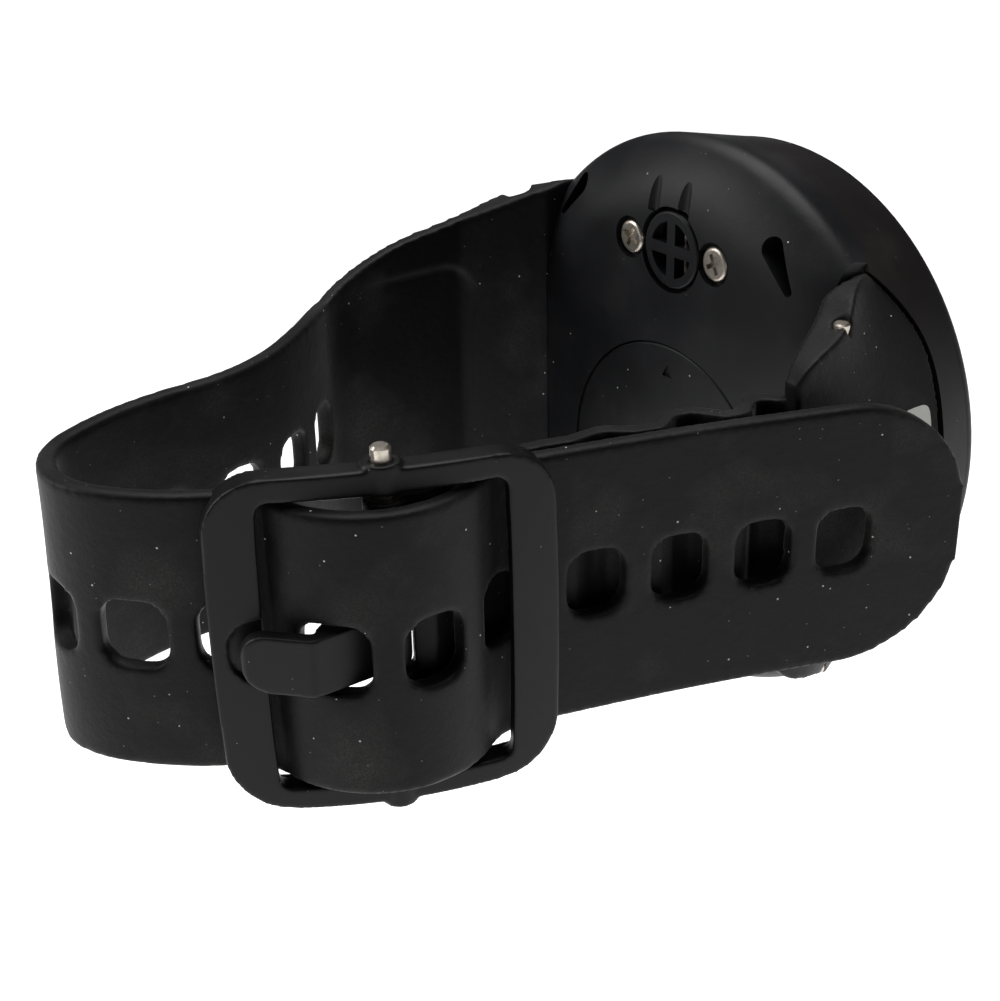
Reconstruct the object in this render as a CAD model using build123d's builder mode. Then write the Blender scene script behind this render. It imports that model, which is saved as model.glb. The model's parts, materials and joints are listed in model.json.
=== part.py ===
"""Wrist dive computer on a closed strap, in millimetres.

+Y points out of the face and -Y out of the back, which lies on the wrist.
+X runs from the long strap's lug to the short strap's lug, and +Z along the pins.
The origin is the case's axis at the level of the flat back.
"""
import os
from math import cos, radians, sin

from build123d import *

# Case: a drum that tapers from its widest place towards the front
WIDE_R = 34.9
WIDE_Y = 6.0
TAPER = 0.2              # radius lost per millimetre of height
RIM_Y = 17.0             # where the sloping bezel begins
FRONT_Y = 24.0
PLATEAU_R = 25.5         # flat middle of the back
NECK_R = 31.0            # the shell's neck inside the bezel
NECK_TOP = 15.4
LEDGE_Y = 12.0           # underside of the case above the strap roots
FLAT_X = 24.0            # the case is cut flat here for the strap roots
CORNER_Z = 24.2          # lowest points of the bezel's edge, at the strap roots' corners
CORNER_Y = 6.9
WALL = 2.2
GAP = 0.3                # between pieces that move past each other

# Openings and fittings in the back
COVER_Z = -7.6
COVER_R = 17.7
SENSOR_Z = 22.2
CAP_R = 4.7
SCREW_X = 7.4
SCREW_HEAD_R = 2.1
POCKETS = [(-20.6, 24.3), (17.2, 24.1)]     # middles of the upper ones, mirrored below
POCKET_ANGLE = -52

# Display and inner pieces
LENS_R = 22.0
LIP_R = 20.9
LENS_LOW = 19.0
LENS_TOP = 21.6
BOARD_Y = 13.7
BUTTON_X = -25.0
BUTTON_LOW = 22.4        # underside of the button's head
POCKET_FLOOR = 21.2      # of the button's pocket

# Straps
PIN_X = 28.8
PIN_Y = -1.3
PIN_R = 0.9
LONG_PIN_HALF = 22.9
SHORT_PIN_HALF = 21.4
KNUCKLE_R = 2.3
KNUCKLE_HALF = 11.0
STRAP_T = 2.1
STRAP_HALF = 15.0
HOLE_LONG = 6.3
HOLE_TALL = 7.5
HOLE_CORNER = 2.4
PRONG_HOLE = 108.9       # the hole that the prong is in
PRONG_ROOM = 0.9         # extra length of that hole, as the prong stretches it
TIP_ROUND = 10.3

# The long strap's outer face: steps of (length, turn in degrees), from the lug down,
# round the bend at the bottom, over the buckle pin and up to the free end
LONG_START = (-31.5, -10.0)
LONG_STEPS = [
    (7.5, 0), (9.0, 5), (8.5, 39), (12.0, -7), (15.0, -33), (16.0, 28),
    (17.5, 89), (11.0, 30), (6.0, -50.5), (13.0, 59), (11.5, 54.5),
    (6.0, -49), (14.0, -2), (12.5, -3), (21.9, 0),
]
# Middles of the holes, along the outer face
HOLE_PLACES = [
    28.1, 37.5, 46.8, 56.2, 67.3, 78.5, 87.9, 97.3, PRONG_HOLE, 119.3, 129.2, 140.3, 149.6, 159.0, 168.3,
]

# Short strap, with its bellows folds
SHORT_T = 1.8

# Half-widths of the straps down from their roots, as (height, half-width)
LONG_WAIST = [
    (14.5, 27.0), (6.9, 25.4), (1.2, 24.6), (-9.0, 21.4), (-20.0, 19.4), (-26.0, 17.3), (-31.5, 15.0),
]
SHORT_WAIST = [
    (14.5, 27.0), (6.9, 24.2), (1.2, 23.0), (-0.6, 21.8), (-2.6, 20.8), (-5.5, 19.9), (-9.2, 18.0), (-10.8, 15.0),
]

# Buckle, about its pin
BUCKLE_PIN = (23.1, -55.1)
BUCKLE_HEADING = 66.7
BUCKLE_PIN_R = 1.0
FRAME_HALF_LONG = 17.1
FRAME_HALF_TALL = 18.25
OPEN_HALF_LONG = 12.1
OPEN_HALF_TALL = 15.65
FRAME_TOP = 1.4          # outer face above the pin's axis, at the pin
FRAME_ARCH_R = 55.0
BAR_T = 1.9
RAIL_T = 3.0
PRONG_HALF = 3.1
PRONG_T = 1.6
PRONG_ROOT = [(-1.9, 0.5), (-7.4, 3.4), (-7.4, 2.0), (-6.6, 0.8), (-4.5, -1.2), (-0.5, -1.9)]
HUB_R = 2.0

ALONG = (cos(radians(BUCKLE_HEADING)), sin(radians(BUCKLE_HEADING)), 0)
OUTWARD = (ALONG[1], -ALONG[0], 0)
BUCKLE_SIDE = Plane(origin=(*BUCKLE_PIN, 0), x_dir=ALONG, z_dir=(0, 0, -1))  # local y is outward
BUCKLE_FACE = Plane(origin=(*BUCKLE_PIN, 0), x_dir=ALONG, z_dir=OUTWARD)


def facing_front(y):
    """Plane across the case at height y that looks to +Y: local x is -X, local y is Z."""
    return Plane(origin=(0, y, 0), x_dir=(-1, 0, 0), z_dir=(0, 1, 0))


def save(piece, name):
    """Label a finished piece and write its STEP file."""
    piece.part.label = name
    export_step(piece.part, f"parts/{name}.step")


def follow(start, heading, steps, inset):
    """Ends of the steps, and the heading at each, on a line inset to the left."""
    angle = heading
    x = start[0] - inset * sin(radians(angle))
    y = start[1] + inset * cos(radians(angle))
    stations = [((x, y), angle)]
    for length, turn in steps:
        inner = length - radians(turn) * inset
        half = radians(turn) / 2
        chord = inner * sin(half) / half if turn else inner
        x += chord * cos(radians(angle) + half)
        y += chord * sin(radians(angle) + half)
        angle += turn
        stations.append(((x, y), angle))
    return stations


def draw_path(stations, steps):
    """Add the tangent arcs and lines through the stations to the open BuildLine."""
    for (here, angle), (there, _), (_, turn) in zip(stations, stations[1:], steps):
        if turn:
            TangentArc(here, there, tangent=(cos(radians(angle)), sin(radians(angle))))
        else:
            Line(here, there)


def place_along(start, heading, steps, distance, inset):
    """Point and heading at a distance along the path."""
    travelled = 0.0
    done = []
    for length, turn in steps:
        if travelled + length >= distance:
            part = (distance - travelled) / length
            done.append((length * part, turn * part))
            break
        travelled += length
        done.append((length, turn))
    return follow(start, heading, done, inset)[-1]


def disc(y_low, y_high, radius, x=0.0, z=0.0, hole=0.0):
    """Sketch and extrude a disc or ring between two heights of the case."""
    with BuildSketch(facing_front(y_low)) as outline:
        with Locations((-x, z)):
            Circle(radius)
            if hole:
                Circle(hole, mode=Mode.SUBTRACT)
    extrude(outline.sketch, amount=y_high - y_low)


def bore(y_low, y_high, radius, x=0.0, z=0.0):
    """Cut a round hole between two heights of the case."""
    with BuildSketch(facing_front(y_low)) as outline:
        with Locations((-x, z)):
            Circle(radius)
    extrude(outline.sketch, amount=y_high - y_low, mode=Mode.SUBTRACT)


os.makedirs("parts", exist_ok=True)

# ---------------------------------------------------------------- case back

def drum_radius(y):
    """Outer radius of the tapering drum at height y."""
    return WIDE_R - TAPER * (y - WIDE_Y)


def above_seam(drop):
    """Cut away everything above the edge between the bezel and what lies under it."""
    with BuildSketch(Plane(origin=(-50, 0, 0), x_dir=(0, 1, 0), z_dir=(1, 0, 0))) as region:
        with BuildLine():
            draw_seam(drop, 40.0)
        make_face()
    extrude(region.sketch, amount=100, mode=Mode.SUBTRACT)


def below_seam():
    """Cut away everything below the bezel's edge."""
    with BuildSketch(Plane(origin=(-50, 0, 0), x_dir=(0, 1, 0), z_dir=(1, 0, 0))) as region:
        with BuildLine():
            draw_seam(0.0, -40.0)
        make_face()
    extrude(region.sketch, amount=100, mode=Mode.SUBTRACT)


def draw_seam(drop, far):
    """Add the outline between the seam, as seen along X, and a height far from it."""
    flank = [(CORNER_Y - drop, CORNER_Z), (8.7 - drop, 28.2), (9.5 - drop, 33.0), (9.8 - drop, 40.0)]
    hump = [
        (CORNER_Y - drop, -CORNER_Z), (9.6 - drop, -21.0), (11.7 - drop, -16.7), (LEDGE_Y - drop, -9.0),
        (LEDGE_Y - drop, 9.0), (11.7 - drop, 16.7), (9.6 - drop, 21.0), (CORNER_Y - drop, CORNER_Z),
    ]
    Spline(*hump)
    Spline(*flank)
    Spline(*[(y, -z) for y, z in reversed(flank)])
    Polyline((9.8 - drop, 40.0), (far, 40.0), (far, -40.0), (9.8 - drop, -40.0))


def draw_pocket(place, angle):
    """Add a drop-shaped outline, round at its start and narrow at its end."""
    turn = Location(place, angle)
    ends = [(-2.3, 1.3), (3.0, 0.5), (3.5, 0), (3.0, -0.5), (-2.3, -1.3), (-3.6, 0)]
    spots = [(turn * Location(end)).position for end in ends]
    Line(spots[0], spots[1])
    ThreePointArc(spots[1], spots[2], spots[3])
    Line(spots[3], spots[4])
    ThreePointArc(spots[4], spots[5], spots[0])


with BuildPart() as case_back:
    with BuildSketch(Plane.XY):
        with BuildLine():
            Line((0, 0), (PLATEAU_R, 0))
            Spline((PLATEAU_R, 0), (30.2, 0.9), (33.3, 2.7), (WIDE_R, WIDE_Y), tangents=((1, 0), (-TAPER, 1)))
            Polyline((WIDE_R, WIDE_Y), (drum_radius(LEDGE_Y), LEDGE_Y), (0, LEDGE_Y), (0, 0))
        make_face()
    revolve(axis=Axis.Y)
    above_seam(0)
    disc(WALL, NECK_TOP, NECK_R)
    # Flat sides for the strap roots, up to the ledge
    for side in (-1, 1):
        with BuildSketch(facing_front(-1)):
            with Locations((side * (FLAT_X + 20), 0)):
                Rectangle(40, 80)
        extrude(amount=LEDGE_Y + 1, mode=Mode.SUBTRACT)
    # Inner space: narrow between the roots, wide above the ledge, solid round the pockets
    with BuildSketch(facing_front(WALL)):
        Circle(NECK_R - 1.5)
        with Locations((-FLAT_X - 8, 0), (FLAT_X + 8, 0)):
            Rectangle(20, 80, mode=Mode.SUBTRACT)
        for x, z in POCKETS:
            with Locations((-1.05 * x, 1.05 * z), (-1.05 * x, -1.05 * z)):
                Circle(6.0, mode=Mode.SUBTRACT)
    extrude(amount=NECK_TOP, mode=Mode.SUBTRACT)
    with BuildSketch(facing_front(LEDGE_Y + 1.1)):
        Circle(NECK_R - 1.2)
    extrude(amount=NECK_TOP, mode=Mode.SUBTRACT)
    # Battery chamber: a round wall, then the stepped opening for the cover
    disc(WALL - 0.5, 8.6, COVER_R + 0.6, z=COVER_Z)
    for depth, radius in ((1.7, COVER_R + 0.15), (4.4, 15.4), (7.8, 12.6)):
        bore(-1, depth, radius, z=COVER_Z)
    with BuildSketch(facing_front(WALL)):
        with Locations((-4.0, COVER_Z), (4.0, COVER_Z)):
            Rectangle(3.4, 2.0)
    extrude(amount=10, mode=Mode.SUBTRACT)
    # Sensor well, with the shaft behind it
    disc(WALL - 0.5, 6.0, 6.2, z=SENSOR_Z)
    for depth, radius in ((2.3, CAP_R + 0.5), (5.0, 3.6), (7.0, 1.6)):
        bore(-1, depth, radius, z=SENSOR_Z)
    # Screw seats and their bosses
    for side in (-1, 1):
        disc(WALL - 0.5, 7.2, 2.2, x=side * SCREW_X, z=SENSOR_Z)
        bore(-1, 1.1, SCREW_HEAD_R + 0.5, x=side * SCREW_X, z=SENSOR_Z)
        bore(-1, 6.4, 0.95, x=side * SCREW_X, z=SENSOR_Z)
    # Slanted drop-shaped pockets at the plateau's corners
    for x, z in POCKETS:
        for up in (-1, 1):
            outwards = 180 if x > 0 else 0
            turn = up * (POCKET_ANGLE if x < 0 else -POCKET_ANGLE)
            with BuildSketch(facing_front(-1)):
                with BuildLine():
                    draw_pocket((-x, up * z), turn + outwards)
                make_face()
            extrude(amount=5.0, mode=Mode.SUBTRACT)
    # Two water channels up the slope beside the sensor
    for side in (-1, 1):
        with BuildSketch(Plane(origin=(side * 2.6 - 0.6, -0.55, SENSOR_Z + 4.2), z_dir=(0, 0.12, 1))):
            Circle(1.15)
        extrude(amount=12, mode=Mode.SUBTRACT)
    # Hinge knuckles on the flat sides, with the pin bores
    for side in (-1, 1):
        with BuildSketch(Plane.XY.offset(-KNUCKLE_HALF)):
            with Locations((side * PIN_X, PIN_Y)):
                Circle(KNUCKLE_R)
            with BuildLine():
                Polyline(
                    (side * (FLAT_X - 1), 1.4), (side * (FLAT_X - 1), 9.0), (side * FLAT_X, 9.0),
                    (side * (PIN_X + 1.9), PIN_Y + 1.3), (side * (PIN_X - 1.5), PIN_Y - 1.75),
                    (side * FLAT_X, 1.4), (side * (FLAT_X - 1), 1.4),
                )
            make_face()
        extrude(amount=2 * KNUCKLE_HALF)
        with BuildSketch(Plane.XY.offset(-KNUCKLE_HALF - 1)):
            with Locations((side * PIN_X, PIN_Y)):
                Circle(PIN_R + 0.03)
        extrude(amount=2 * KNUCKLE_HALF + 2, mode=Mode.SUBTRACT)
save(case_back, "case_back")

# ---------------------------------------------------------------- bezel, lens and display

with BuildPart() as bezel_ring:
    with BuildSketch(Plane.XY):
        with BuildLine():
            Line((drum_radius(CORNER_Y - 1), CORNER_Y - 1), (drum_radius(RIM_Y), RIM_Y))
            ThreePointArc((drum_radius(RIM_Y), RIM_Y), (32.5, 17.9), (32.0, 18.6))
            Line((32.0, 18.6), (27.6, 23.4))
            ThreePointArc((27.6, 23.4), (27.15, 23.8), (26.5, FRONT_Y))
            Polyline((26.5, FRONT_Y), (22.6, FRONT_Y), (LIP_R, 23.1), (LIP_R, LENS_TOP + 0.4))
            seat_r = LENS_R + 0.1
            Polyline((LIP_R, LENS_TOP + 0.4), (seat_r, LENS_TOP + 0.4), (seat_r, 18.2), (23.3, 18.2))
            # Hollow underside round the lens seat
            web_y = NECK_TOP + 0.2
            Polyline((23.3, 18.2), (23.3, 19.4), (28.6, 19.4), (28.6, web_y), (NECK_R, web_y))
            skirt_y = CORNER_Y - 1
            Polyline((NECK_R, web_y), (NECK_R, skirt_y), (drum_radius(skirt_y), skirt_y))
        make_face()
    revolve(axis=Axis.Y)
    below_seam()
    # Pocket and bore for the push button
    with BuildSketch(facing_front(POCKET_FLOOR)):
        with Locations((-BUTTON_X, 0)):
            RectangleRounded(3.8, 8.0, 1.5)
    extrude(amount=5, mode=Mode.SUBTRACT)
    bore(10, 30, 0.9, x=BUTTON_X)
save(bezel_ring, "bezel_ring")

with BuildPart() as body_oring:
    with BuildSketch(Plane.XY):
        with Locations((NECK_R - 0.6, NECK_TOP + 0.1)):
            Rectangle(0.8, 0.2)
    revolve(axis=Axis.Y)
save(body_oring, "body_seal")

with BuildPart() as display_lens:
    disc(LENS_LOW, LENS_TOP, LENS_R)
    fillet(display_lens.edges().sort_by(Axis.Y)[-1], 0.3)
save(display_lens, "display_lens")

with BuildPart() as lens_gasket:
    disc(LENS_TOP, LENS_TOP + 0.4, LENS_R, hole=LIP_R + 0.1)
save(lens_gasket, "lens_gasket")

with BuildPart() as dial_mask:
    disc(LENS_LOW - 0.4, LENS_LOW, LENS_R)
    with BuildSketch(facing_front(LENS_LOW - 0.6)):
        RectangleRounded(25, 29, 3)
    extrude(amount=1, mode=Mode.SUBTRACT)
save(dial_mask, "dial_mask")

with BuildPart() as lcd_panel:
    with BuildSketch(facing_front(BOARD_Y + 2.3)):
        Rectangle(27, 31)
    extrude(amount=2.3)
save(lcd_panel, "lcd_panel")

with BuildPart() as lcd_frame:
    with BuildSketch(facing_front(BOARD_Y + 1.1)):
        Rectangle(29, 33)
        Rectangle(27.2, 31.2, mode=Mode.SUBTRACT)
    extrude(amount=3.6)
save(lcd_frame, "lcd_frame")

with BuildPart() as main_board:
    disc(BOARD_Y, BOARD_Y + 1.0, NECK_R - 1.6)
save(main_board, "main_board")

with BuildPart() as button_switch:
    with BuildSketch(facing_front(BOARD_Y + 1.0)):
        with Locations((-BUTTON_X, 0)):
            Rectangle(3.0, 3.0)
    extrude(amount=0.8)
    disc(BOARD_Y + 1.8, BOARD_Y + 2.4, 0.6, x=BUTTON_X)
save(button_switch, "button_switch")

# ---------------------------------------------------------------- push button

with BuildPart() as mode_button:
    with BuildSketch(facing_front(BUTTON_LOW)):
        with Locations((-BUTTON_X, 0)):
            RectangleRounded(3.4, 7.6, 1.3)
    extrude(amount=2.6)
    fillet(mode_button.edges().group_by(Axis.Y)[-1], 0.5)
    # Hollow for the spring, round the stem
    bore(BUTTON_LOW - 0.5, BUTTON_LOW + 1.1, 1.62, x=BUTTON_X)
    disc(BOARD_Y + 3.25, BUTTON_LOW + 1.2, 0.85, x=BUTTON_X)
save(mode_button, "mode_button")

with BuildPart() as button_spring:
    disc(POCKET_FLOOR, POCKET_FLOOR + 1.25, 1.55, x=BUTTON_X, hole=1.1)
save(button_spring, "button_spring")

# ---------------------------------------------------------------- back fittings

with BuildPart() as battery_cover:
    disc(0, 1.55, COVER_R, z=COVER_Z)
    disc(1.55, 4.2, 14.9, z=COVER_Z)
    fillet(battery_cover.edges().sort_by(Axis.Y)[0], 0.35)
    # Groove for the seal
    with BuildSketch(facing_front(2.4)):
        with Locations((0, COVER_Z)):
            Circle(16)
            Circle(14.0, mode=Mode.SUBTRACT)
    extrude(amount=1.0, mode=Mode.SUBTRACT)
    # Hollow over the cell
    with BuildSketch(facing_front(2.6)):
        with Locations((0, COVER_Z)):
            Circle(12.5)
    extrude(amount=3, mode=Mode.SUBTRACT)
    # Coin slot
    with BuildSketch(facing_front(-0.5)):
        with Locations((0, COVER_Z)):
            Rectangle(16, 1.9)
    extrude(amount=1.5, mode=Mode.SUBTRACT)
    # Three triangles that point at the open and closed marks
    with BuildSketch(facing_front(-0.5)):
        with Locations((0, COVER_Z)):
            with PolarLocations(COVER_R - 3.4, 3, start_angle=90):
                RegularPolygon(1.0, 3)
    extrude(amount=0.8, mode=Mode.SUBTRACT)
save(battery_cover, "battery_cover")

with BuildPart() as cover_oring:
    with BuildSketch(Plane((0, 0, COVER_Z))):
        with Locations((14.6, 2.9)):
            Circle(0.45)
    revolve(axis=Axis((0, 0, COVER_Z), (0, 1, 0)))
save(cover_oring, "cover_oring")

with BuildPart() as battery:
    disc(2.8, 7.6, 12.25, z=COVER_Z)
    fillet(battery.edges().group_by(Axis.Y)[0], 0.5)
save(battery, "battery")

with BuildPart() as battery_contacts:
    for x, z in ((-4.0, COVER_Z), (4.0, COVER_Z)):
        with BuildSketch(facing_front(7.6)):
            with Locations((-x, z)):
                Rectangle(3.0, 1.6)
        extrude(amount=BOARD_Y - 7.6)
save(battery_contacts, "battery_contacts")

with BuildPart() as sensor_cap:
    disc(0.1, 1.7, CAP_R, z=SENSOR_Z)
    with BuildSketch(facing_front(-0.5)):
        with Locations((0, SENSOR_Z)):
            Circle(CAP_R - 1.25)
            Rectangle(1.4, 9, mode=Mode.SUBTRACT)
            Rectangle(9, 1.4, mode=Mode.SUBTRACT)
    extrude(amount=3, mode=Mode.SUBTRACT)
    fillet(sensor_cap.edges().group_by(Axis.Y)[0].filter_by(GeomType.CIRCLE).sort_by(SortBy.LENGTH)[-1], 0.35)
save(sensor_cap, "sensor_cap")

with BuildPart() as pressure_sensor:
    disc(2.5, 4.9, 3.4, z=SENSOR_Z)
    disc(4.9, BOARD_Y, 1.3, z=SENSOR_Z)
save(pressure_sensor, "pressure_sensor")

with BuildPart() as contact_screws:
    for side in (-1, 1):
        disc(0.15, 1.1, SCREW_HEAD_R, x=side * SCREW_X, z=SENSOR_Z)
        disc(1.1, 6.2, 0.9, x=side * SCREW_X, z=SENSOR_Z)
    heads = contact_screws.edges().group_by(Axis.Y)[0]
    fillet(heads, 0.5)
    for side in (-1, 1):
        for width, height in ((2.5, 0.55), (0.55, 2.5)):
            with BuildSketch(facing_front(-0.5)):
                with Locations(Location((side * SCREW_X, SENSOR_Z), 25 * side)):
                    Rectangle(width, height)
            extrude(amount=1.2, mode=Mode.SUBTRACT)
save(contact_screws, "contact_screws")

with BuildPart() as buzzer:
    disc(BOARD_Y - 2.4, BOARD_Y, 5.0, x=9.5, z=15.5)
save(buzzer, "buzzer")

# ---------------------------------------------------------------- straps


# Plans of the roots' outer face, from under the bezel down: height, reach at the middle,
# and a corner of the same plan
ROOT_PLANS = [
    (12.6, 33.5, (23.9, 23.8)), (7.0, 33.3, (24.5, 24.2)), (1.2, 32.9, (28.0, 23.0)),
    (-3.0, 32.3, (30.4, 20.7)), (-7.0, 31.8, (31.2, 19.5)), (-11.0, 31.5, (31.45, 15.0)),
]


def strap_root(side):
    """The thick end of a strap round its pin, flush with the bezel above it."""
    plans = []
    for y, reach, (x, z) in ROOT_PLANS:
        with BuildSketch(Plane(origin=(0, y, 0), x_dir=(side, 0, 0), z_dir=(0, side, 0))) as plan:
            with BuildLine():
                radius = ((reach - x) ** 2 + z**2) / (2 * (reach - x))
                edge_x = reach - radius + (radius**2 - 28.0**2) ** 0.5
                ThreePointArc((edge_x, -28), (reach, 0), (edge_x, 28))
                Polyline((edge_x, 28), (10, 28), (10, -28), (edge_x, -28))
            make_face()
        plans.append(plan.sketch)
    loft(plans)
    with BuildSketch(Plane.XY.offset(-30)) as outline:
        with BuildLine():
            Polyline(
                (side * (FLAT_X + 0.25), 0.3), (side * (FLAT_X + 0.25), LEDGE_Y - GAP),
                (side * 40, LEDGE_Y - GAP), (side * 40, -10.0), (side * (31.5 - STRAP_T), -10.0),
                (side * (FLAT_X + 1.1), -1.1), (side * (FLAT_X + 0.25), 0.3),
            )
        make_face()
    extrude(outline.sketch, amount=60, mode=Mode.INTERSECT)
    above_seam(GAP)


def knuckle_slot(side):
    """Room for the case's knuckle in the middle of a strap root."""
    with BuildSketch(Plane.XY.offset(-KNUCKLE_HALF - GAP)) as slot:
        with Locations((side * PIN_X, PIN_Y)):
            Circle(KNUCKLE_R + GAP)
        with BuildLine():
            Polyline(
                (side * (FLAT_X - 2), 1.0), (side * (FLAT_X - 2), 9.6), (side * (FLAT_X + 0.3), 9.6),
                (side * (PIN_X + 2.2), PIN_Y + 1.6), (side * (PIN_X - 1.8), PIN_Y - 2.05),
                (side * (FLAT_X + 0.3), 0.9), (side * (FLAT_X - 2), 1.0),
            )
        make_face()
    extrude(slot.sketch, amount=2 * (KNUCKLE_HALF + GAP), mode=Mode.SUBTRACT)
    with BuildSketch(Plane.XY.offset(-30)) as pin_bore:
        with Locations((side * PIN_X, PIN_Y)):
            Circle(PIN_R + 0.03)
    extrude(pin_bore.sketch, amount=60, mode=Mode.SUBTRACT)


def waist(side, points, bottom):
    """Cutters that narrow a strap from its root to the strap's own width."""
    for up in (-1, 1):
        with BuildSketch(Plane(origin=(side * 10, 0, 0), x_dir=(0, 1, 0), z_dir=(1, 0, 0))) as cutter:
            with BuildLine():
                Spline(*[(y, up * z) for y, z in points])
                Polyline((points[-1][0], up * points[-1][1]), (bottom, up * points[-1][1]))
                Polyline((bottom, up * points[-1][1]), (bottom, up * 40), (points[0][0], up * 40))
                Line((points[0][0], up * 40), (points[0][0], up * points[0][1]))
            make_face()
        extrude(cutter.sketch, amount=side * 40, mode=Mode.SUBTRACT)


def path_outline(steps, start, inset, thickness):
    """Closed outline of a strap along its steps, seen along the pins."""
    outer = follow(start, -90, steps, inset)
    inner = follow(start, -90, steps, inset + thickness)
    draw_path(outer, steps)
    Line(outer[-1][0], inner[-1][0])
    draw_path(inner, steps)
    Line(inner[0][0], outer[0][0])


with BuildPart() as long_strap:
    strap_root(-1)
    with BuildSketch(Plane.XY.offset(-28)):
        with BuildLine():
            path_outline(LONG_STEPS[:4], LONG_START, 0, STRAP_T)
        make_face()
    extrude(amount=56)
    waist(-1, LONG_WAIST, -60)
    knuckle_slot(-1)
    with BuildSketch(Plane.XY.offset(-STRAP_HALF)):
        with BuildLine():
            path_outline(LONG_STEPS, LONG_START, 0, STRAP_T)
        make_face()
    extrude(amount=2 * STRAP_HALF)
    tip = follow(LONG_START, -90, LONG_STEPS, STRAP_T / 2)[-1][0]
    for up in (-1, 1):
        corner = long_strap.edges().sort_by_distance((tip[0], tip[1], up * STRAP_HALF))[0]
        fillet(corner, TIP_ROUND)
    # Holes, square to the strap
    for place in HOLE_PLACES:
        (x, y), heading = place_along(LONG_START, -90, LONG_STEPS, place, STRAP_T / 2)
        outward = (sin(radians(heading)), -cos(radians(heading)), 0)
        along = (cos(radians(heading)), sin(radians(heading)), 0)
        below = (x - 1.6 * outward[0], y - 1.6 * outward[1], 0)
        with BuildSketch(Plane(origin=below, x_dir=along, z_dir=outward)):
            length = HOLE_LONG + (PRONG_ROOM if place == PRONG_HOLE else 0)
            RectangleRounded(length, HOLE_TALL, HOLE_CORNER)
        extrude(amount=3.2, mode=Mode.SUBTRACT)
save(long_strap, "long_strap")


def at_buckle(along, outward):
    """Place on the part's XY plane, from the buckle's own directions."""
    point = BUCKLE_SIDE.from_local_coords((along, outward, 0))
    return (point.X, point.Y)


def stroke(points, thickness):
    """Rounded band along a line of points, in the open sketch."""
    for start, end in zip(points, points[1:]):
        step = Vector(*end) - Vector(*start)
        middle = (Vector(*start) + Vector(*end)) / 2
        with Locations(Location((middle.X, middle.Y), step.get_signed_angle(Vector(1, 0)))):
            SlotCenterToCenter(step.length, thickness)


# Middle of the short strap, from its root, over three folds, to the buckle pin
FOLDS = [
    (30.3, -8.6), (27.4, -10.6), (26.9, -12.6), (28.8, -15.0), (28.3, -17.0), (25.2, -18.9),
    (24.6, -21.4), (26.2, -24.2), (25.4, -26.8), (23.5, -28.9), (23.1, -31.0), (23.3, -33.2),
    at_buckle(17.4, -8.2), at_buckle(9.6, -6.3), at_buckle(4.0, -0.2), BUCKLE_PIN,
]

with BuildPart() as short_strap:
    strap_root(1)
    waist(1, SHORT_WAIST, -60)
    knuckle_slot(1)
    with BuildSketch(Plane.XY.offset(-STRAP_HALF)):
        stroke(FOLDS, SHORT_T)
        with Locations(BUCKLE_PIN):
            Circle(HUB_R)
    extrude(amount=2 * STRAP_HALF)
    # Bore for the buckle pin and the slot for the prong
    with BuildSketch(Plane.XY.offset(-STRAP_HALF - 1)):
        with Locations(BUCKLE_PIN):
            Circle(BUCKLE_PIN_R + 0.04)
    extrude(amount=2 * STRAP_HALF + 2, mode=Mode.SUBTRACT)
    with BuildSketch(BUCKLE_SIDE.offset(-PRONG_HALF - GAP)):
        Rectangle(2 * HUB_R + GAP, 6.0)
    extrude(amount=2 * (PRONG_HALF + GAP), mode=Mode.SUBTRACT)
save(short_strap, "short_strap")

for name, side, half in (("strap_pin_long", -1, LONG_PIN_HALF), ("strap_pin_short", 1, SHORT_PIN_HALF)):
    with BuildPart() as strap_pin:
        with BuildSketch(Plane.XY.offset(-half)):
            with Locations((side * PIN_X, PIN_Y)):
                Circle(PIN_R)
        extrude(amount=2 * half)
        chamfer(strap_pin.edges().filter_by(GeomType.CIRCLE), 0.2)
    save(strap_pin, name)

# ---------------------------------------------------------------- buckle


def arch(along, drop=0.0):
    """Height of the frame's arched outer face above the pin's axis."""
    return FRAME_TOP - drop - along**2 / (2 * FRAME_ARCH_R)


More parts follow.
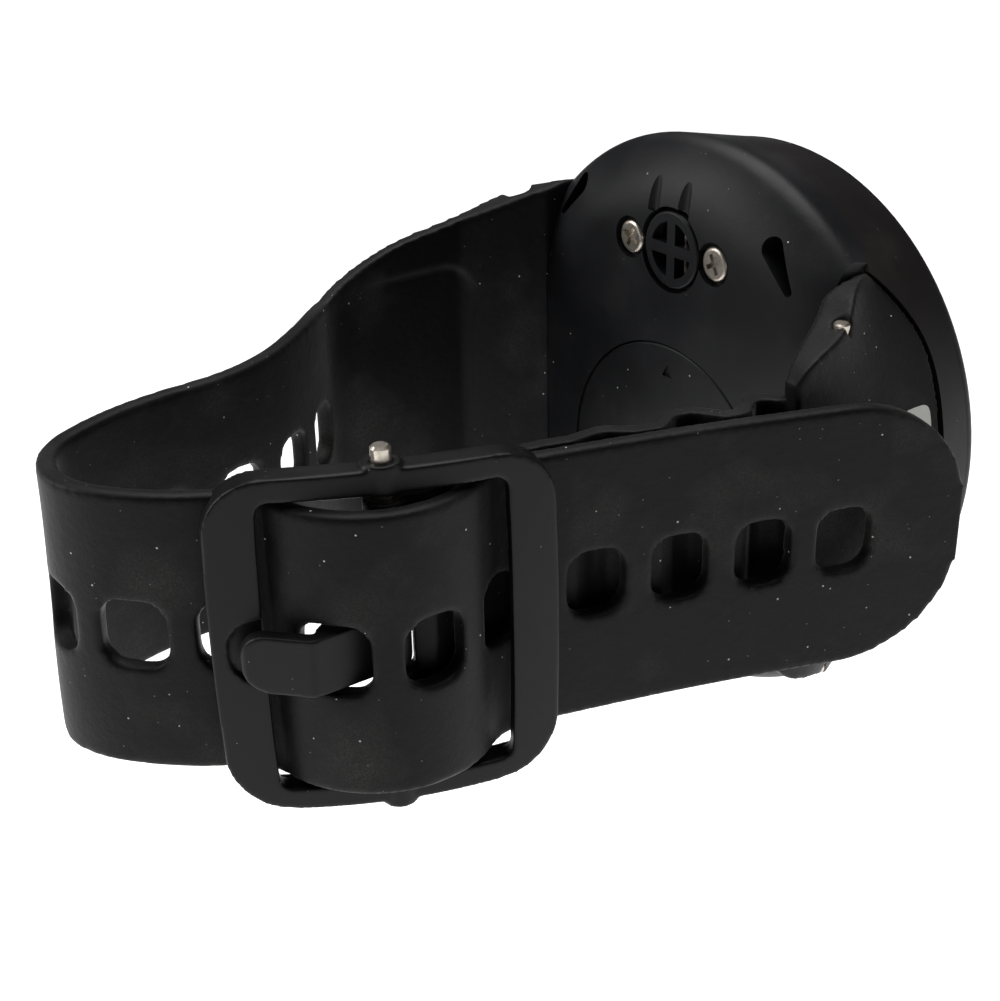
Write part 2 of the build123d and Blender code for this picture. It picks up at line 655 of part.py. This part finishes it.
with BuildPart() as buckle_frame:
    end = FRAME_HALF_LONG + 1
    with BuildSketch(BUCKLE_SIDE.offset(-FRAME_HALF_TALL)):
        with BuildLine():
            ThreePointArc((-end, arch(end)), (0, arch(0)), (end, arch(end)))
            Line((end, arch(end)), (end, arch(end, RAIL_T)))
            ThreePointArc((end, arch(end, RAIL_T)), (0, arch(0, RAIL_T)), (-end, arch(end, RAIL_T)))
            Line((-end, arch(end, RAIL_T)), (-end, arch(end)))
        make_face()
    extrude(amount=2 * FRAME_HALF_TALL)
    # Rounded outline with gently bowed sides
    with BuildSketch(BUCKLE_FACE.offset(-8)) as outline:
        with BuildLine():
            x, z, bow = FRAME_HALF_LONG - 0.5, FRAME_HALF_TALL - 0.5, 0.5
            ThreePointArc((-x, -z), (0, -z - bow), (x, -z))
            ThreePointArc((x, -z), (x + bow, 0), (x, z))
            ThreePointArc((x, z), (0, z + bow), (-x, z))
            ThreePointArc((-x, z), (-x - bow, 0), (-x, -z))
        make_face()
        fillet(outline.vertices(), 6.2)
    extrude(amount=16, mode=Mode.INTERSECT)
    # Thinner end bars, and the opening
    with BuildSketch(BUCKLE_SIDE.offset(-OPEN_HALF_TALL)):
        with BuildLine():
            ThreePointArc((-end, arch(end, BAR_T)), (0, arch(0, BAR_T)), (end, arch(end, BAR_T)))
            Polyline((end, arch(end, BAR_T)), (end, -10), (-end, -10), (-end, arch(end, BAR_T)))
        make_face()
    extrude(amount=2 * OPEN_HALF_TALL, mode=Mode.SUBTRACT)
    with BuildSketch(BUCKLE_FACE.offset(-8)) as opening:
        with BuildLine():
            x, z, bow = OPEN_HALF_LONG - 0.3, OPEN_HALF_TALL, 0.3
            Line((-x, -z), (x, -z))
            ThreePointArc((x, -z), (x + bow, 0), (x, z))
            Line((x, z), (-x, z))
            ThreePointArc((-x, z), (-x - bow, 0), (-x, -z))
        make_face()
        fillet(opening.vertices(), 1.2)
    extrude(amount=16, mode=Mode.SUBTRACT)
    # Bosses and bores for the pin
    for up in (-1, 1):
        with BuildSketch(BUCKLE_SIDE.offset(up * OPEN_HALF_TALL)):
            Circle(1.9)
        extrude(amount=up * (FRAME_HALF_TALL + 0.5 - OPEN_HALF_TALL))
    with BuildSketch(BUCKLE_SIDE.offset(-25)):
        Circle(BUCKLE_PIN_R + 0.02)
    extrude(amount=50, mode=Mode.SUBTRACT)
    # Rest for the prong's tip
    with BuildSketch(BUCKLE_FACE.offset(arch(14.0) - 0.75)):
        with Locations((-10.6, 0)):
            SlotOverall(10.2, 2 * PRONG_HALF + 0.9)
    extrude(amount=5, mode=Mode.SUBTRACT)
save(buckle_frame, "buckle_frame")

with BuildPart() as buckle_pin:
    with BuildSketch(BUCKLE_SIDE.offset(-FRAME_HALF_TALL - 2.0)):
        Circle(BUCKLE_PIN_R)
    extrude(amount=2 * FRAME_HALF_TALL + 2.2)
    chamfer(buckle_pin.edges().filter_by(GeomType.CIRCLE), 0.25)
save(buckle_pin, "buckle_pin")

with BuildPart() as buckle_prong:
    with BuildSketch(BUCKLE_SIDE.offset(-PRONG_HALF)):
        stroke([(0, 0.3), (-7.9, 3.5), (-13.7, 0.9)], PRONG_T)
        with BuildLine():
            Polyline(*PRONG_ROOT, close=True)
        make_face()
        Circle(HUB_R)
        Circle(BUCKLE_PIN_R + 0.04, mode=Mode.SUBTRACT)
    extrude(amount=2 * PRONG_HALF)
    with BuildSketch(BUCKLE_SIDE.offset(-PRONG_HALF - 1)):
        Circle(BUCKLE_PIN_R + 0.04)
    extrude(amount=2 * PRONG_HALF + 2, mode=Mode.SUBTRACT)
    with BuildSketch(BUCKLE_FACE.offset(-8)):
        with Locations((-6.0, 0)):
            RectangleRounded(17.0, 2 * PRONG_HALF, 2.6)
    extrude(amount=16, mode=Mode.INTERSECT)
save(buckle_prong, "buckle_prong")
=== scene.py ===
"""Looks of the dive computer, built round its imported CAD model.

Blender 4.5, in metres, in the model's own frame: +Y out of the face, +Z along the strap pins.
"""
import json
import math

import bpy
from mathutils import Matrix, Vector


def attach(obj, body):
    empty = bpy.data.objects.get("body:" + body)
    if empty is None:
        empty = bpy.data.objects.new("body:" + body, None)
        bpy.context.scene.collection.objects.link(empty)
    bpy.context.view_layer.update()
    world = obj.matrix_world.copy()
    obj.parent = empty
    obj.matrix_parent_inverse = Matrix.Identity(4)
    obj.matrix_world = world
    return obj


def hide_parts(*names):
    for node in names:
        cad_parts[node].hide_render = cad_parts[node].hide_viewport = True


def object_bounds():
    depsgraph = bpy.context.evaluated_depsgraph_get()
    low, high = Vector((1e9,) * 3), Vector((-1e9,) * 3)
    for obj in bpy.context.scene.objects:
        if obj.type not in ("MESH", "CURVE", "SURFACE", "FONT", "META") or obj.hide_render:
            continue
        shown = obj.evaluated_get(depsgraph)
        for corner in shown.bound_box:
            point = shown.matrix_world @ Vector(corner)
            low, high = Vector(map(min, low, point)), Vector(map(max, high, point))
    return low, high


MM = 0.001

# Camera
EYE = Vector((139.207, -124.081, 79.249)) * MM
LOOK = Vector((-0.73510, 0.52041, -0.43450))
ROLL = math.radians(1.37)
LENS_MM = 58.17
SENSOR_MM = 36.0
NEAR_CLIP = 0.005

# Studio, in metres and watts. A lamp has a place, a target, a size and a power.
LAMPS = {
    "top_light": ((-0.20, 0.10, 0.95), (0, 0, 0), (0.9, 0.9), 11),
    "left_light": ((-0.60, -0.70, 0.40), (0, -0.03, 0), (0.35, 0.6), 4.5),
    "right_light": ((0.70, 0.75, 0.35), (0, 0, 0), (0.3, 0.6), 0.8),
}
WORLD_STRENGTH = 0.05
FLOOR_DROP = 0.35
FLOOR_SIZE = 16
FLOOR_WHITE = 0.9
FLOOR_ROUGHNESS = 0.7
FLOOR_GLOW = 1.0

# Moulded surfaces
DUST = (0.5, 0.48, 0.46)
SHEEN_ROUGHNESS = 0.35

# Voxels, in metres, that the moulded pieces are rounded with
LONG_VOXEL = 0.00042
SHORT_VOXEL = 0.0003
FRAME_VOXEL = 0.00022
PRONG_VOXEL = 0.0002

# From here on in millimetres. Half the strap's width, and what rounding takes off each edge
STRAP_HALF = 15.0
EDGE_LOSS = 0.2
EDGE_FROM = 6

# Bend of the long strap: it spreads by FLARE, and by twice that at its lower edge
FLARE = 1.1
FLARE_WAY = Vector((-0.3, -1.0, 0))
FLARE_Y = (-52, -72)
FLARE_X = (12, -2)

# Free end of the long strap: TIP is the corner of its outer face
TIP = Vector((40.42, 6.03, 0))
TIP_HEADING = math.radians(70)
TIP_ROUND_CAD = 10.3
TIP_ROUND = 13.0
TIP_DRAW = 0.7
TIP_DRAW_LENGTH = 10
TIP_LENGTH = 16
TIP_HEIGHTS = (-3.5, 1)
TIP_BLUNT = 0.5

# Pin of the long strap, and the notches in the strap's edges at its ends
PIN_PLACE = (-28.8, -1.3)
PIN_END = 22.5
NOTCH_DEPTH = 4
NOTCH_R = (1.5, 2.3)

# Pressed panel in the long strap's inner face, which fades out down the strap
PANEL_DEPTH = 0.42
PANEL_Y = -20
PANEL_BOW = 0.0036
PANEL_HALF = (6.2, 10.6)
PANEL_CORNER = (4.7, 5.2)
PANEL_FADE = (17, 29)
PANEL_REACH = (-34, -7)
PANEL_MOST_X = -24
PANEL_FACING = 0.6

# Printed patch on the short strap. It is cast from its centre's X towards the strap
MARK_CENTRE = (45, 8.0, 8.6)
MARK_HALF = (2.3, 1.7)
MARK_LIFT = 0.06
MARK_RINGS = 6
MARK_SPOKES = 32

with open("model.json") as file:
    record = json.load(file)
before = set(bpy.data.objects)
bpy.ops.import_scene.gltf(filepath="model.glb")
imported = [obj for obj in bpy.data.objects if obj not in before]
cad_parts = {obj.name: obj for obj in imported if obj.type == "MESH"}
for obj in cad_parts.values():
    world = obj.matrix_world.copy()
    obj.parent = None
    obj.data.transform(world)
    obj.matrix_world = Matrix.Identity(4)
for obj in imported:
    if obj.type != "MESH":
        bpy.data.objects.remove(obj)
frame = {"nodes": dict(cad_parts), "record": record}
cad_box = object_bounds()
nodes = frame["nodes"]


# ---------------------------------------------------------------- materials


class Shader:
    """A principled material with a few helpers for its node tree."""

    def __init__(self, name):
        self.material = bpy.data.materials.new(name)
        self.material.use_nodes = True
        self.tree = self.material.node_tree
        self.surface = self.tree.nodes["Principled BSDF"]
        self.place = self.add("ShaderNodeTexCoord").outputs["Object"]

    def add(self, kind, **settings):
        """Add a node. A setting is a property of the node, or else one of its inputs."""
        node = self.tree.nodes.new(kind)
        for key, value in settings.items():
            if hasattr(node, key):
                setattr(node, key, value)
            else:
                node.inputs[key.replace("_", " ").title()].default_value = value
        return node

    def link(self, source, target):
        self.tree.links.new(source, target)

    def noise(self, scale, detail=3.0, stretch=None):
        """Noise over the object, with features of about 1/scale metres."""
        texture = self.add("ShaderNodeTexNoise", scale=scale, detail=detail)
        source = self.place
        if stretch:
            mapping = self.add("ShaderNodeMapping")
            mapping.inputs["Scale"].default_value = stretch
            self.link(self.place, mapping.inputs["Vector"])
            source = mapping.outputs["Vector"]
        self.link(source, texture.inputs["Vector"])
        return texture.outputs["Fac"]

    def ramp(self, factor, low, high, dark, light):
        """Mix two colours as factor goes from low to high."""
        node = self.add("ShaderNodeValToRGB")
        node.color_ramp.elements[0].position = low
        node.color_ramp.elements[0].color = (*dark, 1)
        node.color_ramp.elements[1].position = high
        node.color_ramp.elements[1].color = (*light, 1)
        self.link(factor, node.inputs["Fac"])
        return node.outputs["Color"]

    def span(self, factor, low, high, start, end):
        """Map factor from low..high to start..end."""
        node = self.add("ShaderNodeMapRange")
        for socket, value in zip(node.inputs[1:5], (low, high, start, end)):
            socket.default_value = value
        self.link(factor, node.inputs["Value"])
        return node.outputs["Result"]

    def maths(self, operation, first, second):
        """Result of a maths operation on two numbers or outputs."""
        node = self.add("ShaderNodeMath", operation=operation)
        for socket, value in zip(node.inputs, (first, second)):
            if isinstance(value, (int, float)):
                socket.default_value = value
            else:
                self.link(value, socket)
        return node.outputs["Value"]

    def mix(self, factor, first, second):
        """Mix the second colour over the first."""
        node = self.add("ShaderNodeMix", data_type="RGBA")
        self.link(factor, node.inputs["Factor"])
        for socket, value in ((node.inputs["A"], first), (node.inputs["B"], second)):
            if isinstance(value, tuple):
                socket.default_value = (*value, 1)
            else:
                self.link(value, socket)
        return node.outputs["Result"]

    def specks(self, scale, radius, share):
        """Mask of tiny dots, in a share of cells of 1/scale metres."""
        cells = self.add("ShaderNodeTexVoronoi", scale=scale)
        self.link(self.place, cells.inputs["Vector"])
        near = self.maths("LESS_THAN", cells.outputs["Distance"], radius)
        pick = self.add("ShaderNodeSeparateColor")
        self.link(cells.outputs["Color"], pick.inputs["Color"])
        chosen = self.maths("LESS_THAN", pick.outputs["Red"], share)
        return self.maths("MULTIPLY", near, chosen)

    def bump(self, *heights):
        """Chain bumps of (height, depth in metres) onto the surface."""
        last = None
        for height, depth in heights:
            node = self.add("ShaderNodeBump", strength=1.0, distance=depth)
            self.link(height, node.inputs["Height"])
            if last:
                self.link(last, node.inputs["Normal"])
            last = node.outputs["Normal"]
        self.link(last, self.surface.inputs["Normal"])

    def set(self, **values):
        """Set inputs of the surface that nothing is linked to."""
        for key, value in values.items():
            self.surface.inputs[key.replace("_", " ")].default_value = value


def tinted(colour, share):
    return tuple(part * share for part in colour)


def dusted(shader, colour, mottle, fine, amount):
    """Lay a patchy haze of dust, then pale specks in two sizes, over a colour."""
    patches = shader.span(mottle, low=0.5, high=0.75, start=0.0, end=0.05 * amount)
    breaks = shader.span(fine, low=0.4, high=0.7, start=0.3, end=1.0)
    colour = shader.mix(shader.maths("MULTIPLY", patches, breaks), colour, DUST)
    colour = shader.mix(shader.specks(scale=520, radius=0.055, share=0.34 * amount), colour, DUST)
    small = shader.specks(scale=1300, radius=0.075, share=0.12 * amount)
    return shader.mix(small, colour, tinted(DUST, 0.5))


def moulded(name, base, roughness, grain, depth, dusty=0.0, specular=0.5, sheen=0.0):
    """Moulded rubber or plastic: fine grain of a depth in metres, soft mottling, worn edges and dust."""
    shader = Shader(name)
    surface = shader.surface.inputs
    mottle = shader.noise(scale=95, detail=4)
    fine = shader.noise(grain, detail=2)
    coarse = shader.noise(grain * 0.22, detail=2)
    colour = shader.ramp(mottle, low=0.35, high=0.7, dark=tinted(base, 0.82), light=tinted(base, 1.25))
    edges = shader.add("ShaderNodeNewGeometry").outputs["Pointiness"]
    worn = shader.span(edges, low=0.53, high=0.62, start=0.0, end=0.5)
    colour = shader.mix(worn, colour, tinted(base, 2.2))
    if dusty:
        colour = dusted(shader, colour, mottle, fine, dusty)
    shader.link(colour, surface["Base Color"])
    dulled = shader.span(mottle, low=0.3, high=0.7, start=roughness - 0.05, end=roughness + 0.07)
    shader.link(dulled, surface["Roughness"])
    shader.bump((fine, depth), (coarse, depth * 1.6))
    shader.set(Specular_IOR_Level=specular, Sheen_Weight=sheen, Sheen_Roughness=SHEEN_ROUGHNESS)
    return shader.material


def metal(name, base, roughness):
    """Turned or plated metal with fine scratches and dull patches."""
    shader = Shader(name)
    surface = shader.surface.inputs
    tarnish = shader.noise(scale=900, detail=4)
    scratches = shader.noise(scale=2500, detail=2, stretch=(1.0, 12.0, 1.0))
    colour = shader.ramp(tarnish, low=0.35, high=0.65, dark=tinted(base, 0.62), light=base)
    shader.link(colour, surface["Base Color"])
    dulled = shader.span(tarnish, low=0.3, high=0.7, start=roughness + 0.12, end=roughness - 0.05)
    shader.link(dulled, surface["Roughness"])
    shader.bump((scratches, 0.000004))
    shader.set(Metallic=1.0)
    return shader.material


def clear(name):
    """Clear lens with faint smears."""
    shader = Shader(name)
    smear = shader.noise(scale=70, detail=3)
    dulled = shader.span(smear, low=0.4, high=0.8, start=0.02, end=0.09)
    shader.link(dulled, shader.surface.inputs["Roughness"])
    shader.set(Base_Color=(0.93, 0.96, 0.97, 1), Transmission_Weight=1.0, IOR=1.49)
    return shader.material


def display(name):
    """Grey-green reflective display with a fine dot grid."""
    shader = Shader(name)
    grid = shader.add("ShaderNodeTexBrick", offset=0.0, scale=1000.0)
    shader.link(shader.place, grid.inputs["Vector"])
    shade = shader.noise(scale=60, detail=2)
    colour = shader.ramp(shade, low=0.3, high=0.7, dark=(0.30, 0.34, 0.27), light=(0.36, 0.40, 0.32))
    shader.link(colour, shader.surface.inputs["Base Color"])
    shader.bump((grid.outputs["Fac"], 0.000003))
    shader.set(Roughness=0.28)
    return shader.material


# Colour, roughness, scale of the grain and its depth in metres
MATERIALS = {
    "shell": moulded("shell", (0.0046, 0.0049, 0.0060), 0.46, 5200, 0.000010, dusty=0.5, specular=0.23),
    "ring": moulded("ring", (0.0060, 0.0046, 0.0044), 0.50, 5200, 0.000010, dusty=0.5, specular=0.20),
    "strap": moulded(
        "strap", (0.0036, 0.0031, 0.0031), 0.52, 4600, 0.000028, dusty=1.3, specular=0.15, sheen=0.10
    ),
    "buckle": moulded("buckle", (0.0036, 0.0033, 0.0036), 0.42, 6500, 0.000008, dusty=0.4, specular=0.20),
    "seal": moulded("seal", (0.012, 0.012, 0.012), 0.6, 3000, 0.00001),
    "mask": moulded("mask", (0.008, 0.008, 0.009), 0.35, 6000, 0.000002),
    "board": moulded("board", (0.02, 0.10, 0.045), 0.35, 2500, 0.00001),
    "frame_plastic": moulded("frame_plastic", (0.55, 0.55, 0.52), 0.5, 3000, 0.000008),
    "steel": metal("steel", (0.66, 0.60, 0.52), 0.30),
    "brass": metal("brass", (0.72, 0.52, 0.22), 0.32),
    "lens": clear("lens"),
    "lcd": display("lcd"),
}


def dress(piece, slot):
    """Give a piece the slot's material, in place of whatever it has."""
    if not piece.data.materials:
        piece.data.materials.append(MATERIALS[slot])
    for place in piece.material_slots:
        place.material = MATERIALS[slot]


# ---------------------------------------------------------------- soft shapes


def softened(node, name, voxel, passes):
    """New piece in a CAD node's shape with its edges rounded, as a mould leaves them."""
    piece = bpy.data.objects.new(name, nodes[node].data.copy())
    bpy.context.scene.collection.objects.link(piece)
    remesh = piece.modifiers.new("remesh", "REMESH")
    remesh.mode = "VOXEL"
    remesh.voxel_size = voxel
    smooth = piece.modifiers.new("smooth", "SMOOTH")
    smooth.factor = 0.5
    smooth.iterations = passes
    graph = bpy.context.evaluated_depsgraph_get()
    mesh = bpy.data.meshes.new_from_object(piece.evaluated_get(graph), depsgraph=graph)
    piece.modifiers.clear()
    piece.data = mesh
    mesh.name = name
    mesh.shade_smooth()
    return piece


def ease(value, low, high):
    """0 below low, 1 above high, smooth between."""
    t = min(max((value - low) / (high - low), 0.0), 1.0)
    return t * t * (3 - 2 * t)


def widen(mesh):
    """Give back the width that rounding took off a strap's edges."""
    for vertex in mesh.vertices:
        z = vertex.co.z / MM
        vertex.co.z += math.copysign(ease(abs(z), EDGE_FROM, STRAP_HALF) * EDGE_LOSS * MM, z)


def round_tip(mesh):
    """Draw the free end out a little and round its corners more."""
    along = Vector((math.cos(TIP_HEADING), math.sin(TIP_HEADING), 0))
    outward = Vector((along.y, -along.x, 0))
    inner, outer = TIP_HEIGHTS
    for vertex in mesh.vertices:
        offset = vertex.co / MM - TIP
        reach = offset.dot(along)
        if reach < -TIP_LENGTH or not inner < offset.dot(outward) < outer:
            continue
        widths = []
        for radius in (TIP_ROUND_CAD, TIP_ROUND):
            past = min(max(reach + radius, 0), radius - TIP_BLUNT)
            widths.append(STRAP_HALF - radius + math.sqrt(radius ** 2 - past ** 2))
        vertex.co.z *= widths[1] / widths[0]
        vertex.co += along * TIP_DRAW * ease(reach, -TIP_DRAW_LENGTH, 0) * MM


def bare_pin_ends(mesh):
    """Notches in the strap's edges at the ends of its pin."""
    for vertex in mesh.vertices:
        x, y, z = vertex.co / MM
        away = math.hypot(x - PIN_PLACE[0], y - PIN_PLACE[1])
        height = PIN_END + NOTCH_DEPTH * ease(away, *NOTCH_R)
        if abs(z) > height:
            vertex.co.z = math.copysign(height, z) * MM


def press_panel(mesh):
    """Shallow panel in the strap's inner face below the lug, which fades out down the strap."""
    lowest, highest = PANEL_REACH
    half_y, half_z = PANEL_HALF
    normals = [vertex.normal.copy() for vertex in mesh.vertices]
    for vertex, normal in zip(mesh.vertices, normals):
        x, y, z = vertex.co / MM
        if normal.x < PANEL_FACING or not lowest < y < highest or x > PANEL_MOST_X:
            continue
        past_y = max(abs(y - PANEL_Y - PANEL_BOW * z * z) - half_y, 0)
        past_z = max(abs(z) - half_z, 0)
        inside = 1 - ease(math.hypot(past_y, past_z), *PANEL_CORNER)
        vertex.co.x -= PANEL_DEPTH * MM * inside * (1 - ease(-y, *PANEL_FADE))


def flare_bend(mesh):
    """The strap's bend spreads a little, most of all at its lower edge."""
    for vertex in mesh.vertices:
        x, y, z = vertex.co / MM
        weight = ease(-y, -FLARE_Y[0], -FLARE_Y[1]) * ease(-x, -FLARE_X[0], -FLARE_X[1])
        lean = ease(-z, -STRAP_HALF, STRAP_HALF)
        vertex.co += FLARE_WAY * FLARE * (1 + lean) * weight * MM


def strap_mark(strap):
    """Small plain patch with rounded corners, cast onto the short strap beside the case's ring."""
    side = Vector((1, 0, 0))
    points = []
    for ring in range(1, MARK_RINGS + 1):
        for spoke in range(MARK_SPOKES):
            angle = 2 * math.pi * spoke / MARK_SPOKES
            spot = Vector(MARK_CENTRE)
            for axis, turn in ((1, math.cos(angle)), (2, math.sin(angle))):
                spread = math.copysign(abs(turn) ** 0.5, turn)
                spot[axis] += MARK_HALF[axis - 1] * spread * ring / MARK_RINGS
            place = strap.ray_cast(spot * MM, -side)[1]
            points.append(place + side * MARK_LIFT * MM)
    faces = [range(MARK_SPOKES)]
    for ring in range(MARK_RINGS - 1):
        for spoke in range(MARK_SPOKES):
            here = ring * MARK_SPOKES + spoke
            beside = ring * MARK_SPOKES + (spoke + 1) % MARK_SPOKES
            faces.append((here, here + MARK_SPOKES, beside + MARK_SPOKES, beside))
    mesh = bpy.data.meshes.new("strap_mark")
    mesh.from_pydata(points, [], faces)
    mark = bpy.data.objects.new("strap_mark", mesh)
    bpy.context.scene.collection.objects.link(mark)
    dress(mark, "frame_plastic")
    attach(mark, "short_half")


def stand_for(piece, node, body, slot):
    """Put a piece in a CAD node's place."""
    piece.data.materials.clear()
    dress(piece, slot)
    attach(piece, body)
    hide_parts(node)


# ---------------------------------------------------------------- studio


def camera():
    """Camera at the photograph's viewpoint."""
    data = bpy.data.cameras.new("camera")
    data.sensor_width = SENSOR_MM
    data.lens = LENS_MM
    data.clip_start = NEAR_CLIP
    obj = bpy.data.objects.new("camera", data)
    bpy.context.scene.collection.objects.link(obj)
    turn = LOOK.to_track_quat("-Z", "Y").to_matrix() @ Matrix.Rotation(-ROLL, 3, "Z")
    obj.matrix_world = Matrix.Translation(EYE) @ turn.to_4x4()
    bpy.context.scene.camera = obj


def softbox(name, place, target, size, power):
    """Rectangular lamp that faces its target."""
    data = bpy.data.lights.new(name, "AREA")
    data.shape = "RECTANGLE"
    data.size, data.size_y = size
    data.energy = power
    obj = bpy.data.objects.new(name, data)
    obj.location = place
    obj.rotation_euler = (Vector(target) - Vector(place)).to_track_quat("-Z", "Y").to_euler()
    bpy.context.scene.collection.objects.link(obj)


def studio():
    """Glowing white floor well below the object, a dim world and soft lamps."""
    world = bpy.data.worlds.new("studio")
    world.use_nodes = True
    background = world.node_tree.nodes["Background"]
    background.inputs["Color"].default_value = (1, 1, 1, 1)
    background.inputs["Strength"].default_value = WORLD_STRENGTH
    bpy.context.scene.world = world
    for name, lamp in LAMPS.items():
        softbox(name, *lamp)
    bpy.ops.mesh.primitive_plane_add(size=FLOOR_SIZE, location=(0, 0, cad_box[0][2] - FLOOR_DROP))
    floor = bpy.context.object
    floor.name = "floor"
    paint = bpy.data.materials.new("floor")
    paint.use_nodes = True
    glow = paint.node_tree.nodes["Principled BSDF"]
    glow.inputs["Base Color"].default_value = (FLOOR_WHITE, FLOOR_WHITE, FLOOR_WHITE, 1)
    glow.inputs["Roughness"].default_value = FLOOR_ROUGHNESS
    glow.inputs["Emission Color"].default_value = (1, 1, 1, 1)
    glow.inputs["Emission Strength"].default_value = FLOOR_GLOW
    floor.data.materials.append(paint)
    bpy.context.scene.view_settings.view_transform = "Standard"


# ---------------------------------------------------------------- assembly

for record_part in frame["record"]["subparts"]:
    dress(nodes[record_part["node"]], record_part["material_slot"])

long_rubber = softened("long_strap", "long_strap_rubber", LONG_VOXEL, passes=5)
widen(long_rubber.data)
round_tip(long_rubber.data)
bare_pin_ends(long_rubber.data)
press_panel(long_rubber.data)
flare_bend(long_rubber.data)
stand_for(long_rubber, "long_strap", "long_half", "strap")
short_rubber = softened("short_strap", "short_strap_rubber", SHORT_VOXEL, passes=4)
stand_for(short_rubber, "short_strap", "short_half", "strap")
strap_mark(short_rubber)
buckle_moulding = softened("buckle_frame", "buckle_frame_moulding", FRAME_VOXEL, passes=6)
stand_for(buckle_moulding, "buckle_frame", "buckle", "buckle")
prong_moulding = softened("buckle_prong", "buckle_prong_moulding", PRONG_VOXEL, passes=6)
stand_for(prong_moulding, "buckle_prong", "prong", "buckle")

camera()
studio()
